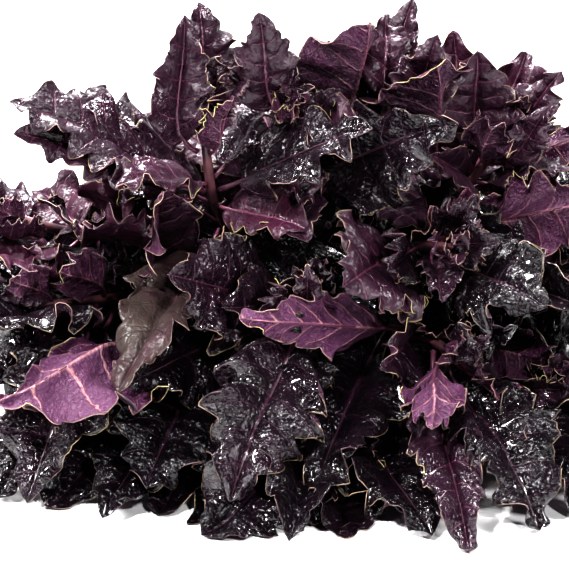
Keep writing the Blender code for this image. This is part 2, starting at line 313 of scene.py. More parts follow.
# %% Smooth values along a line
def smooth_at(stations, values, wanted):
    """Cubic values between stations, for numbers or for rows of numbers."""
    values = np.asarray(values, float)
    flat = values.reshape(len(values), -1)
    slopes = np.gradient(flat, stations, axis=0)
    cell = np.clip(np.searchsorted(stations, wanted, side="right") - 1, 0, len(stations) - 2)
    span = (stations[cell + 1] - stations[cell])[..., None]
    t = (wanted[..., None] - stations[cell][..., None]) / span
    a, b, da, db = flat[cell], flat[cell + 1], slopes[cell] * span, slopes[cell + 1] * span
    got = (
        a * (2 * t**3 - 3 * t**2 + 1)
        + da * (t**3 - 2 * t**2 + t)
        + b * (-2 * t**3 + 3 * t**2)
        + db * (t**3 - t**2)
    )
    return got[..., 0] if values.ndim == 1 else got


def lengths_along(points):
    steps = np.linalg.norm(np.diff(points, axis=0), axis=1)
    return np.concatenate([[0.0], np.cumsum(steps)])


print("stem_01 is", round(lengths_along(stems["stem_01"][0])[-1] / MM), "mm long")


# %% [markdown]
# ## The blade
# A leaf of this basil is broad and deeply lobed. Its side veins leave the midrib at a
# slant, and each runs out into the point of a lobe, so the rows of the grid are swept
# along the veins: the lobes, the sunk veins and the puffed skin between them then all
# follow the rows. "Phase" counts the side veins from the petiole: it is a whole number in
# each notch of the margin, and half-way between at the point of each lobe.

# %% Lobes of the margin
MOST_LOBES = 16


def lobes(phase, right, dice, nature):
    """How deep the margin is cut in, and how far it reaches out, as shares of the half-width."""
    side = right.astype(int) * np.ones(phase.shape, int)
    part = phase % 1.0
    lobe = np.clip(np.floor(phase).astype(int), 0, MOST_LOBES - 2)
    notch = np.clip(lobe + (part >= 0.5), 0, MOST_LOBES - 1)
    off = np.abs(2 * part - 1)
    deep = dice.uniform(0.45, 1.45, (2, MOST_LOBES))[side, notch] * nature["teeth"]
    long = dice.uniform(-0.6, 1.0, (2, MOST_LOBES))[side, lobe]
    fine = 0.5 * nature["fine"] * (1 - np.abs(2 * ((3 * phase + 0.5) % 1.0) - 1))
    cut = deep * (0.60 * off**3.2 + 0.40 * off ** (1 + nature["round"])) + fine * off
    return cut, 0.20 * long * (1 - off) ** 1.5, off


print("room for", MOST_LOBES, "lobes on each side of a blade")


# %% [markdown]
# ## Relief of the blade
# The blade's height above its midrib adds up what the eye sees from coarse to fine: the
# fold along the midrib, which differs a little between the halves, the waves of a margin
# that is longer than the blade has room for, and the skin that puffs up between the veins.
# A cloth simulation would ruffle a leaf too, but it can't be steered to fold and curl
# where the real one does, and two hundred of them would take far too long.

# %% Relief of the blade
def relief(phase, t, across, half, reach, right, dice, nature):
    """Height above the midrib in millimetres."""
    turns = dice.uniform(0, 2 * np.pi, (7, 2))
    lean = dice.uniform(-0.35, 0.35)
    body = np.clip(half / (0.35 * half.max()), 0, 1)

    def own(row):
        return np.where(right, turns[row, 1], turns[row, 0])

    fold = nature["fold"] * (1 + np.where(right, lean, -lean))
    height = half * (fold * reach - nature["recurve"] * reach**2)
    slow = np.sin(np.pi * phase * 0.9 + own(0))
    quick = np.sin(2 * np.pi * phase * 0.73 + own(1))
    height = height + nature["ruffle"] * (slow + 0.5 * quick) * reach**2.4 * body
    wave = 1 - np.abs(2 * (phase % 1.0) - 1)
    height = height - nature["droop"] * wave * reach**6 * body
    crimp = np.sin(2 * np.pi * phase * 1.37 + own(6)) + 0.6 * np.sin(2 * np.pi * phase * 2.1 + own(5))
    height = height + nature["crisp"] * crimp * reach**5 * body
    between = np.sqrt(np.abs(np.cos(np.pi * phase)) + 0.02)
    puff = between * np.clip(reach * 5, 0, 1) * (1 - 0.7 * reach**4)
    height = height + nature["puff"] * puff * body
    height = height - 0.7 * nature["puff"] * np.exp(-((across / 1.1) ** 2)) * body
    for scale, strength, row in ((0.55, 0.45, 2), (1.1, 0.26, 3), (2.2, 0.12, 4)):
        bumps = np.sin(across * scale + 5 * t + turns[row, 0]) * np.sin(44 * t * scale + turns[row, 1])
        height = height + strength * nature["puff"] * bumps * body
    sag = np.sin(2 * np.pi * 1.2 * t + turns[5, 0]) * np.sin(np.pi * t)
    return height + nature["wander"] * sag * body


# %% [markdown]
# ## Points of the blade
# Each row of the grid starts at the midrib and runs out along a side vein, so it is swept
# towards the tip. A point's place is found along the midrib, then out to the side, then up
# by the relief. "Wide" and "blunt" change the outline, "twist" turns the blade about its
# midrib, and "tuck" draws one half in and lifts it, as where a neighbour presses on it.

# %% Blade points
def blade_points(plan, rows, columns, nature, dice):
    """Points of the blade, row by row, and the vein coordinates (across, phase) of each."""
    length = lengths_along(plan["middle"])
    start, total = length[plan["blade"]], length[-1]
    t = np.linspace(0.0, 1.0, rows + 1)[:, None]
    a = np.linspace(-1.0, 1.0, columns + 1)[None, :]
    a = np.sign(a) * np.abs(a) ** 0.9
    reach = np.abs(a)
    right = a > 0
    shift = dice.uniform(-0.2, 0.2, 2)
    uneven = 0.18 * np.sin(2 * np.pi * 1.1 * t + np.where(right, *dice.uniform(0, 6.28, 2)))
    phase = nature["veins"] * t + 0.30 + uneven + np.where(right, shift[1], shift[0])
    cut, longer, off = lobes(phase, right, dice, nature)
    fade = np.clip(np.sin(np.pi * np.clip(t * 0.96 + 0.04, 0, 1)), 0, 1) ** 0.45
    edge = reach**3.2
    along = t + nature["sweep"] * (1 - t) ** 1.15 * reach ** (1.05 + 0.9 * (1 - t) ** 5)
    along = np.clip(along + (0.045 * (1 - off) + 0.006) * edge * (1 - t) * fade, 0.0, 1.0)
    where = start + along * (total - start)
    middle = smooth_at(length, plan["middle"], where)
    side = unit(smooth_at(length, plan["side"], where))
    up = smooth_at(length, plan["up"], where)
    up = unit(up - side * (up * side).sum(axis=-1, keepdims=True))
    turn = np.radians(nature["twist"]) * (along[..., None] ** 1.5)
    side, up = side * np.cos(turn) + up * np.sin(turn), up * np.cos(turn) - side * np.sin(turn)
    margin = np.where(right, along[:, -1:], along[:, :1])
    half = smooth_at(length, plan["half"], start + margin * (total - start)) / MM
    half = np.maximum(half * nature["wide"], 0.2) * (1 + longer * fade * edge)
    half = half * (1 + nature["blunt"] * margin**2)
    half = np.where(t >= 1.0, 0.2, half)
    across = a * half * (1 - cut * fade * edge)
    height = relief(phase, t, across, half, reach, right, dice, nature)
    tuck = np.where(right, nature["tuck"][1], nature["tuck"][0])
    across = across * (1 - tuck)
    height = height + 0.9 * tuck * half * reach
    points = middle + side * (across * MM)[..., None] + up * (height * MM)[..., None]
    return points, np.stack([a + 0 * t, phase], axis=-1)


# %% [markdown]
# ## From grid to leaf
# A flat grid is made once and copied for each leaf. Its points are moved onto the leaf,
# and a Solidify modifier gives it its thickness: the sheet is the upper side, the copy
# it makes is the underside, and the strip between them is the pale margin. Small leaves
# take a coarser grid, because their faces would be too fine to see.

# %% Grids to copy
def flat_grid(name, columns, rows):
    select_only()
    bpy.ops.mesh.primitive_grid_add(x_subdivisions=columns, y_subdivisions=rows, size=1.0)
    grid = bpy.context.object
    grid.name = name
    bpy.ops.object.shade_smooth()
    mesh = grid.data
    bpy.data.objects.remove(grid)
    return mesh


LARGE, MEDIUM, SMALL, TINY = (32, 54), (24, 42), (16, 28), (10, 18)
GRIDS = {size: (flat_grid(f"grid_{size}", *size), size) for size in (LARGE, MEDIUM, SMALL, TINY)}
TUBES = {size: (flat_grid(f"tube_{size}", *size), size) for size in ((8, 20), (6, 12), (16, 90))}
print(len(GRIDS), "leaf grids and", len(TUBES), "tube grids")


# %% [markdown]
# ## Placing the points
# All the points of a mesh are set at once, which is much faster than one by one. A leaf
# that hangs low would pass through the table, so the points under it are eased up to lie
# along it. Two numbers go with every leaf as attributes, for its finish to read.

# %% Placing the points
FLOOR_GAP = 0.35 * MM


def above_floor(points, ease=2.5 * MM):
    """Points that would go through the table lie along it."""
    points = points.copy()
    z = points[..., 2]
    lowest = low.z + FLOOR_GAP + ease
    under = z < lowest
    z[under] = low.z + FLOOR_GAP + ease * np.exp((z[under] - lowest) / ease)
    return points


def mesh_from(grid, name, points, uv):
    """A copy of a grid with its points moved, and with vein coordinates as its UV map."""
    mesh = grid.copy()
    mesh.name = name
    mesh.vertices.foreach_set("co", points.reshape(-1).astype(np.float32))
    layer = mesh.uv_layers[0]
    layer.name = "veins"
    corner = np.empty(len(mesh.loops), np.int32)
    mesh.loops.foreach_get("vertex_index", corner)
    layer.data.foreach_set("uv", uv.reshape(-1, 2)[corner].reshape(-1).astype(np.float32))
    mesh.update()
    return mesh


def keep_numbers(mesh, nature):
    for label in ("tone", "flush"):
        kept = mesh.attributes.new(label, "FLOAT", "POINT")
        kept.data.foreach_set("value", np.full(len(mesh.vertices), nature[label], np.float32))


def add_object(name, mesh):
    thing = bpy.data.objects.new(name, mesh)
    bpy.context.scene.collection.objects.link(thing)
    return thing


print("a leaf's sheet stays", round(FLOOR_GAP / MM, 2), "mm above the table, room for its thickness")


# %% [markdown]
# ## Round things
# Stems, petioles and midribs are rods. A rod could be a curve with a bevel, but that can't
# be square at the corners and closed at its ends in one go. So a flat grid is rolled up:
# its long edges meet, its first and last rows shrink to a point, and merging the doubles
# closes them. After that the normals are made to point outwards.

# %% Rolled tube
NEARLY_UP = np.array([0.13, 0.22, 1.0])


def rolled_tube(name, points, radii, size, squareness=0.0):
    """A closed tube along points, made of a grid whose two long edges meet."""
    grid, (columns, rows) = TUBES[size]
    spot = lengths_along(points)
    at = np.linspace(0, spot[-1], rows - 1)
    at = np.concatenate([[0.0], at, [spot[-1]]])
    middle = smooth_at(spot, points, at)
    radius = np.interp(at, spot, radii)
    radius[0] = radius[-1] = 0.0
    heading = unit(np.gradient(smooth_at(spot, points, np.linspace(0, spot[-1], rows + 1)), axis=0))
    side = unit(np.cross(heading, NEARLY_UP))
    up = np.cross(side, heading)
    turn = np.linspace(0, 2 * np.pi, columns + 1)
    shape = 1 + squareness * np.cos(4 * turn)[None, :]
    ring = side[:, None] * np.cos(turn)[None, :, None] + up[:, None] * np.sin(turn)[None, :, None]
    place = middle[:, None] + ring * (radius[:, None] * shape)[..., None]
    uv = np.stack(np.broadcast_arrays(turn[None, :] / (2 * np.pi), at[:, None] / MM), axis=-1)
    tube = add_object(name, mesh_from(grid, name, above_floor(place, 0.2 * MM), uv))
    select_only(tube)
    bpy.ops.object.mode_set(mode="EDIT")
    bpy.ops.mesh.select_all(action="SELECT")
    bpy.ops.mesh.remove_doubles(threshold=1e-6)
    bpy.ops.mesh.normals_make_consistent(inside=False)
    bpy.ops.object.mode_set(mode="OBJECT")
    return tube


# %% [markdown]
# ## Wiring up nodes
# A finish is a tree of nodes. Each method of this class adds one node, feeds it sockets or
# plain numbers, and gives back its output, so that a recipe reads like a sum.

# %% Wiring
class Wiring:
    """Adds nodes to a tree and links them, to keep each material's recipe short."""

    def __init__(self, tree):
        self.tree = tree

    def feed(self, socket, value):
        if isinstance(value, bpy.types.NodeSocket):
            self.tree.links.new(value, socket)
        else:
            socket.default_value = value

    def math(self, operation, *values):
        node = self.tree.nodes.new("ShaderNodeMath")
        node.operation = operation
        for socket, value in zip(node.inputs, values):
            self.feed(socket, value)
        return node.outputs[0]

    def ramp(self, value, low_end, high_end, to_low=0.0, to_high=1.0):
        node = self.tree.nodes.new("ShaderNodeMapRange")
        node.interpolation_type = "SMOOTHSTEP"
        for socket, given in zip(node.inputs, (value, low_end, high_end, to_low, to_high)):
            self.feed(socket, given)
        return node.outputs[0]

    def mix(self, share, first, second):
        node = self.tree.nodes.new("ShaderNodeMix")
        node.data_type = "RGBA"
        self.feed(node.inputs[0], share)
        self.feed(node.inputs[6], first)
        self.feed(node.inputs[7], second)
        return node.outputs[2]

    def noise(self, where, scale, detail=3.0, roughness=0.5, output="Fac"):
        node = self.tree.nodes.new("ShaderNodeTexNoise")
        self.feed(node.inputs["Vector"], where)
        self.feed(node.inputs["Scale"], scale)
        self.feed(node.inputs["Detail"], detail)
        self.feed(node.inputs["Roughness"], roughness)
        return node.outputs[output]

    def cells(self, where, scale):
        """The distance to the nearest edge of a net of cells."""
        node = self.tree.nodes.new("ShaderNodeTexVoronoi")
        node.feature = "DISTANCE_TO_EDGE"
        self.feed(node.inputs["Vector"], where)
        self.feed(node.inputs["Scale"], scale)
        return node.outputs["Distance"]

    def uv(self):
        node = self.tree.nodes.new("ShaderNodeUVMap")
        node.uv_map = "veins"
        return node.outputs[0]

    def attribute(self, name):
        node = self.tree.nodes.new("ShaderNodeAttribute")
        node.attribute_name = name
        return node.outputs["Fac"]

    def split(self, vector):
        node = self.tree.nodes.new("ShaderNodeSeparateXYZ")
        self.feed(node.inputs[0], vector)
        return node.outputs

    def group(self, group, **values):
        node = self.tree.nodes.new("ShaderNodeGroup")
        node.node_tree = group
        for label, value in values.items():
            self.feed(node.inputs[label], value)
        return node.outputs

    def bump(self, height, strength, distance):
        node = self.tree.nodes.new("ShaderNodeBump")
        self.feed(node.inputs["Height"], height)
        self.feed(node.inputs["Strength"], strength)
        self.feed(node.inputs["Distance"], distance)
        return node.outputs[0]


# %% [markdown]
# ## Vein pattern
# One node group reads a leaf's vein coordinates: the first runs across the blade from
# -1 to 1, the second counts the side veins. It puts out a mask for the midrib, one for the
# side veins, one for the net of fine veins, the height of the skin that bulges between
# them, and a mask for the margin. A picture of veins could be laid on the leaf instead, but
# then the lobes and the veins wouldn't meet. Both sides of a leaf use this one group.

# %% Vein pattern group
MASKS = ("Midrib", "Side veins", "Net", "Bubbles", "Margin")
vein_group = bpy.data.node_groups.new("veins of a leaf", "ShaderNodeTree")
for label in ("Place", "Object"):
    vein_group.interface.new_socket(name=label, in_out="INPUT", socket_type="NodeSocketVector")
for label in MASKS:
    vein_group.interface.new_socket(name=label, in_out="OUTPUT", socket_type="NodeSocketFloat")
given = vein_group.nodes.new("NodeGroupInput")
result = vein_group.nodes.new("NodeGroupOutput")

wire = Wiring(vein_group)
place = wire.split(given.outputs["Place"])
wobble = wire.math("SUBTRACT", wire.noise(given.outputs["Object"], 260.0), 0.5)
wobble = wire.math("MULTIPLY", wobble, 0.16)
reach = wire.math("ABSOLUTE", place["X"])
midrib = wire.ramp(reach, 0.012, 0.045, 1.0, 0.0)
counted = wire.math("FRACT", wire.math("ADD", place["Y"], wobble))
off_vein = wire.math("ABSOLUTE", wire.math("SUBTRACT", counted, 0.5))
broad = wire.ramp(reach, 0.0, 1.0, 0.075, 0.022)
side_veins = wire.ramp(off_vein, wire.math("MULTIPLY", broad, 0.3), broad, 1.0, 0.0)
side_veins = wire.math("MULTIPLY", side_veins, wire.ramp(reach, 0.85, 1.0, 1.0, 0.3))
bent = vein_group.nodes.new("ShaderNodeVectorMath")
bent.operation = "MULTIPLY_ADD"
wire.feed(bent.inputs[0], wire.noise(given.outputs["Object"], 500.0, 2.0, output="Color"))
wire.feed(bent.inputs[1], (0.0016, 0.0016, 0.0016))
wire.feed(bent.inputs[2], given.outputs["Object"])
edges = wire.cells(bent.outputs[0], 400.0)
coarse = wire.ramp(edges, 0.0, 0.09, 1.0, 0.0)
bubbles = wire.ramp(edges, -0.15, 0.42)
fine = wire.ramp(wire.cells(bent.outputs[0], 1050.0), 0.0, 0.16, 1.0, 0.0)
net = wire.math("MAXIMUM", coarse, wire.math("MULTIPLY", fine, 0.55))
margin = wire.ramp(wire.math("ADD", reach, wire.math("MULTIPLY", wobble, 0.10)), 0.978, 0.996)
for label, value in zip(MASKS, (midrib, side_veins, net, bubbles, margin)):
    wire.feed(result.inputs[label], value)
print("vein pattern puts out", ", ".join(MASKS))

# %% [markdown]
# ## Leaf finishes
# Two numbers are kept on each leaf. Its tone moves the upper side from black (0) through
# purple (0.5) and wine red (1) to taupe (2), and its flush moves the underside from plum
# (0) to bright magenta (1). The purple and wine red are partly the leaves' own colour and
# partly painted glow of light shining through the upper leaves from behind. The taupe is
# partly an old leaf's own grey-brown and partly a painted reflection of the bright room.
# So all the leaves share four materials, and yet differ.

# %% Start of a finish
def new_finish(name):
    """A material, its wiring, its Principled shader and the object's own coordinates."""
    material = bpy.data.materials.new(name)
    material.use_nodes = True
    wire = Wiring(material.node_tree)
    coords = wire.tree.nodes.new("ShaderNodeTexCoord").outputs["Object"]
    return material, wire, wire.tree.nodes["Principled BSDF"], coords


def patchy(wire, tone, coords, scale, spread):
    """The tone, a little different from patch to patch of a leaf."""
    patch = wire.math("SUBTRACT", wire.noise(coords, scale, 4.0), 0.5)
    return wire.math("ADD", tone, wire.math("MULTIPLY", patch, spread))


# %% [markdown]
# ## Upper side
# The upper side is almost black, with a purple cast and a waxy gloss. Between the veins the
# skin is puckered, and in wet patches a clear coat makes each blister sparkle. The leaves
# at the top of the heap are dry: their veins show, and they shine softly.

# %% Upper side
def upper_side():
    material, wire, shader, coords = new_finish("leaf upper side")
    tone = wire.attribute("tone")
    veins = wire.group(vein_group, Place=wire.uv(), Object=coords)
    shade = patchy(wire, tone, coords, 75.0, 0.7)
    # Painted light: the purple and wine red that the tone brings are partly the leaves' own colour and
    # partly painted glow of light shining through the upper leaves.
    skin = wire.mix(wire.ramp(shade, 0.0, 0.6), (0.0038, 0.0027, 0.0040, 1), (0.024, 0.0100, 0.0190, 1))
    skin = wire.mix(wire.ramp(shade, 0.55, 1.1), skin, (0.059, 0.0150, 0.034, 1))
    # Painted reflection: the taupe is partly an old leaf's own grey-brown and partly a painted reflection of
    # the bright room.
    skin = wire.mix(wire.ramp(shade, 1.3, 2.0), skin, (0.050, 0.041, 0.034, 1))
    lines = wire.math("MULTIPLY", veins["Side veins"], 0.42)
    lines = wire.math("MAXIMUM", lines, wire.math("MULTIPLY", veins["Midrib"], 0.9))
    lines = wire.math("MAXIMUM", lines, wire.math("MULTIPLY", veins["Net"], 0.10))
    line_colour = wire.mix(wire.ramp(tone, 0.0, 0.8), (0.028, 0.012, 0.023, 1), (0.20, 0.070, 0.120, 1))
    line_colour = wire.mix(wire.ramp(tone, 1.2, 1.7), line_colour, (0.060, 0.040, 0.040, 1))
    skin = wire.mix(lines, skin, line_colour)
    # Painted light: the pale margin line is partly the cut tissue's own colour and partly painted light
    # shining through the thin edge.
    pale = wire.ramp(wire.noise(coords, 60.0, 2.0), 0.42, 0.60, 0.0, 0.8)
    skin = wire.mix(wire.math("MULTIPLY", veins["Margin"], pale), skin, (0.28, 0.215, 0.13, 1))
    wire.feed(shader.inputs["Base Color"], skin)
    wet = wire.ramp(wire.noise(coords, 48.0, 3.0), 0.46, 0.60)
    wet = wire.math("MULTIPLY", wet, wire.ramp(tone, 0.3, 0.8, 1.0, 0.35))
    dry = wire.ramp(tone, 0.1, 0.6, 0.23, 0.36)
    wire.feed(shader.inputs["Roughness"], wire.ramp(wet, 0.0, 1.0, dry, 0.12))
    coat = wire.ramp(tone, 0.1, 0.6, 0.95, 0.3)
    wire.feed(shader.inputs["Coat Weight"], wire.math("MULTIPLY", wet, coat))
    shader.inputs["Coat Roughness"].default_value = 0.05
    shader.inputs["Specular IOR Level"].default_value = 0.38
    shader.inputs["Sheen Weight"].default_value = 0.008
    shader.inputs["Sheen Roughness"].default_value = 0.4
    shader.inputs["Sheen Tint"].default_value = (0.75, 0.45, 0.70, 1)
    blisters = wire.math("MULTIPLY", veins["Bubbles"], 0.46)
    puckers = wire.math("ADD", wire.noise(coords, 200.0, 3.0, 0.55), blisters)
    raised = wire.math("MULTIPLY", puckers, wire.ramp(wet, 0.0, 1.0, 0.9, 1.4))
    raised = wire.math("MULTIPLY", raised, wire.ramp(tone, 0.1, 0.6, 1.0, 0.5))
    raised = wire.math("SUBTRACT", raised, wire.math("MULTIPLY", veins["Side veins"], 0.35))
    raised = wire.math("ADD", raised, wire.math("MULTIPLY", wire.noise(coords, 1700.0, 2.0), 0.11))
    wire.feed(shader.inputs["Normal"], wire.bump(raised, 0.9, 0.0010))
    return material


LEAF_FINISHES = [upper_side()]
print(LEAF_FINISHES[-1].name, "has", len(LEAF_FINISHES[-1].node_tree.nodes), "nodes")


# %% [markdown]
# ## Underside
# The underside is dull plum or magenta. Its veins stand out, pale pink, so they raise the
# surface here, where they cut into it on the upper side.

# %% Underside
def underside():
    material, wire, shader, coords = new_finish("leaf underside")
    flush = wire.attribute("flush")
    veins = wire.group(vein_group, Place=wire.uv(), Object=coords)
    shade = patchy(wire, flush, coords, 80.0, 0.6)
    skin = wire.mix(wire.ramp(shade, -0.1, 0.6), (0.015, 0.0058, 0.0125, 1), (0.064, 0.0175, 0.047, 1))
    skin = wire.mix(wire.ramp(shade, 0.5, 1.2), skin, (0.097, 0.034, 0.080, 1))
    skin = wire.mix(wire.math("MULTIPLY", veins["Net"], 0.30), skin, (0.17, 0.050, 0.12, 1))
    lines = wire.math("MAXIMUM", veins["Midrib"], wire.math("MULTIPLY", veins["Side veins"], 0.85))
    line_colour = wire.mix(wire.ramp(flush, 0.0, 0.8), (0.12, 0.045, 0.075, 1), (0.40, 0.20, 0.22, 1))
    skin = wire.mix(lines, skin, line_colour)
    # Painted light: the pale margin is partly the cut's own colour and partly painted light shining through
    # the edge.
    skin = wire.mix(wire.math("MULTIPLY", veins["Margin"], 0.7), skin, (0.36, 0.24, 0.17, 1))
    wire.feed(shader.inputs["Base Color"], skin)
    wet = wire.ramp(wire.noise(coords, 60.0, 3.0), 0.5, 0.62)
    wire.feed(shader.inputs["Roughness"], wire.ramp(wet, 0.0, 1.0, 0.42, 0.20))
    shader.inputs["Specular IOR Level"].default_value = 0.45
    shader.inputs["Sheen Weight"].default_value = 0.012
    shader.inputs["Sheen Roughness"].default_value = 0.4
    shader.inputs["Sheen Tint"].default_value = (0.9, 0.55, 0.85, 1)
    raised = wire.math("MULTIPLY", veins["Side veins"], 0.8)
    raised = wire.math("ADD", raised, wire.math("MULTIPLY", veins["Net"], 0.30))
    raised = wire.math("ADD", raised, wire.noise(coords, 260.0, 5.0, 0.6))
    raised = wire.math("SUBTRACT", raised, wire.math("MULTIPLY", veins["Bubbles"], 0.3))
    wire.feed(shader.inputs["Normal"], wire.bump(raised, 0.9, 0.0010))
    return material


LEAF_FINISHES.append(underside())
print(LEAF_FINISHES[-1].name, "has", len(LEAF_FINISHES[-1].node_tree.nodes), "nodes")


# %% [markdown]
# ## Rim and petiole
# The cut of a leaf's margin is a hair wide. Its colour is partly the cut tissue's own and
# partly painted light shining through the thin edge: dark in places, pale in others, and here
# and there yellow-green, a little paler on the redder leaves. The petiole is a little redder
# than the blade.

# %% Rim and petiole
def rim():
    material, wire, shader, coords = new_finish("leaf rim")
    # Painted light: the rim's pale and yellow-green patches are partly the cut's own colour and partly
    # painted light through the thin edge, a little more on the redder leaves.
    painted_glow_lift = wire.ramp(wire.attribute("tone"), 0.0, 0.7, -0.05, 0.05)
    patch = wire.math("ADD", wire.noise(coords, 60.0, 2.0), painted_glow_lift)
    colour = wire.mix(wire.ramp(patch, 0.42, 0.56), (0.045, 0.020, 0.030, 1), (0.30, 0.20, 0.17, 1))
    colour = wire.mix(wire.ramp(patch, 0.58, 0.70), colour, (0.44, 0.40, 0.17, 1))
    wire.feed(shader.inputs["Base Color"], colour)
    shader.inputs["Roughness"].default_value = 0.4
    return material


def petiole():
    material, wire, shader, coords = new_finish("petiole")
    shade = patchy(wire, wire.attribute("tone"), coords, 130.0, 0.6)
    colour = wire.mix(wire.ramp(shade, -0.1, 0.9), (0.024, 0.009, 0.016, 1), (0.17, 0.055, 0.095, 1))
    wire.feed(shader.inputs["Base Color"], colour)
    shader.inputs["Roughness"].default_value = 0.36
    wire.feed(shader.inputs["Normal"], wire.bump(wire.noise(coords, 900.0, 2.0), 0.2, 0.0003))
    return material


LEAF_FINISHES += [rim(), petiole()]
PETIOLE_SLOT = len(LEAF_FINISHES) - 1
print("slots of a leaf:", ", ".join(finish.name for finish in LEAF_FINISHES))

# %% [markdown]
# ## Stem finish
# The stems are brownish purple, streaked along, with a pale cut end. The UV map's second
# value is the distance from that end, so the first quarter of a millimetre is the cut.

# %% Stem finish
def stem_skin():
    material, wire, shader, coords = new_finish("stem skin")
    along = wire.split(wire.uv())["Y"]
    streak = wire.noise(coords, 150.0, 4.0)
    colour = wire.mix(wire.ramp(streak, 0.35, 0.65), (0.034, 0.013, 0.020, 1), (0.105, 0.042, 0.050, 1))
    cut = wire.ramp(along, 0.0, 0.25, 1.0, 0.0)
    colour = wire.mix(cut, colour, (0.50, 0.46, 0.28, 1))
    wire.feed(shader.inputs["Base Color"], colour)
    shader.inputs["Roughness"].default_value = 0.45
    wire.feed(shader.inputs["Normal"], wire.bump(wire.noise(coords, 800.0, 2.0), 0.25, 0.0003))
    return material


STEM_FINISH = stem_skin()
print(STEM_FINISH.name, "has", len(STEM_FINISH.node_tree.nodes), "nodes")

# %% [markdown]
# ## Stems
# Basil stems are square with rounded corners. Each is a rolled tube whose radius swells
# four times in a turn, a touch thicker than its solid, which it replaces.

# %% Stems
STEM_SQUARENESS = 0.07
for node, (middles, radii) in stems.items():
    tube = rolled_tube(node + "_skin", middles, radii * 1.02, (16, 90), STEM_SQUARENESS)
    tube.data.materials.append(STEM_FINISH)
    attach(tube, "root")
    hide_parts(node)
print(len(stems), "stems made")


# %% [markdown]
# ## Making a leaf
# A leaf's nature is a handful of numbers: how many side veins, how deep the lobes, how
# much fold, ruffle and twist. Most are drawn afresh for each leaf, because no two are
# alike, from dice with a fixed seed, so that the same leaves come out each time. Lengths
# are in millimetres, and the rest are shares of the half-width, or counts.

# %% Nature of a leaf
def nature_of(dice, changes):
    nature = {
        "veins": dice.uniform(5.2, 6.8),
        "sweep": dice.uniform(0.20, 0.28),
        "teeth": dice.uniform(0.18, 0.36),
        "round": dice.uniform(0.0, 1.4),
        "fine": dice.choice([0.0, 0.08, 0.16]),
        "wide": dice.uniform(1.0, 1.12),
        "blunt": dice.uniform(0.0, 0.35),
        "fold": dice.uniform(0.28, 0.78),
        "recurve": dice.uniform(0.20, 0.62),
        "ruffle": dice.uniform(2.4, 4.2),
        "crisp": dice.uniform(0.3, 1.0),
        "droop": dice.uniform(-0.8, 1.4),
        "puff": dice.uniform(0.55, 0.95),
        "wander": dice.uniform(0.4, 1.8),
        "twist": dice.uniform(-22, 22),
        "tone": 0.1,
        "flush": 0.2,
        "thick": 0.26,
        "stalk": 1.0,
        "tuck": (dice.uniform(0.0, 0.25), dice.uniform(0.0, 0.25)),
    }
    return {**nature, **changes}


print("a leaf's nature is made of", len(nature_of(np.random.default_rng(0), {})), "values")


# %% [markdown]
# ## From plan to leaf
# The blade and a rod for its petiole and midrib are made from the same plan and joined.
# The rod runs in the blade's furrow, a little under it, so the midrib shows as a rounded
# rib on both sides.

# %% Make a leaf
def make_leaf(name, plan, seed, size=LARGE, **changes):
    dice = np.random.default_rng(seed)
    nature = nature_of(dice, changes)
    grid, (columns, rows) = GRIDS[size]
    points, uv = blade_points(plan, rows, columns, nature, dice)
    mesh = mesh_from(grid, name, above_floor(points), uv)
    keep_numbers(mesh, nature)
    for finish in LEAF_FINISHES:
        mesh.materials.append(finish)
    leaf = add_object(name, mesh)
    wall = leaf.modifiers.new("thickness", "SOLIDIFY")
    wall.thickness = nature["thick"] * MM
    wall.offset = -1.0
    wall.material_offset = 1
    wall.material_offset_rim = 2
    select_only(leaf)
    bpy.ops.object.modifier_apply(modifier=wall.name)
    rod = make_rod(name + "_rod", plan, nature, (8, 20) if size == LARGE else (6, 12))
    select_only(leaf, rod)
    bpy.ops.object.join()
    return leaf


def make_rod(name, plan, nature, size):
    """Petiole and midrib, thinner towards the tip."""
    count = len(plan["middle"])
    sunk = np.interp(np.arange(count), (0, plan["blade"], plan["blade"] + 1), (0.0, 0.3, 0.62))
    middle = plan["middle"] - plan["up"] * sunk[:, None] * MM
    radii = np.interp(np.linspace(0, 1, count), (0, 0.15, 0.32, 1), (1.0, 0.76, 0.38, 0.07))
    rod = rolled_tube(name, middle, radii * nature["stalk"] * MM, size)
    for finish in LEAF_FINISHES:
        rod.data.materials.append(finish)
    slots = np.full(len(rod.data.polygons), PETIOLE_SLOT, np.int32)
    rod.data.polygons.foreach_set("material_index", slots)
    keep_numbers(rod.data, nature)
    return rod
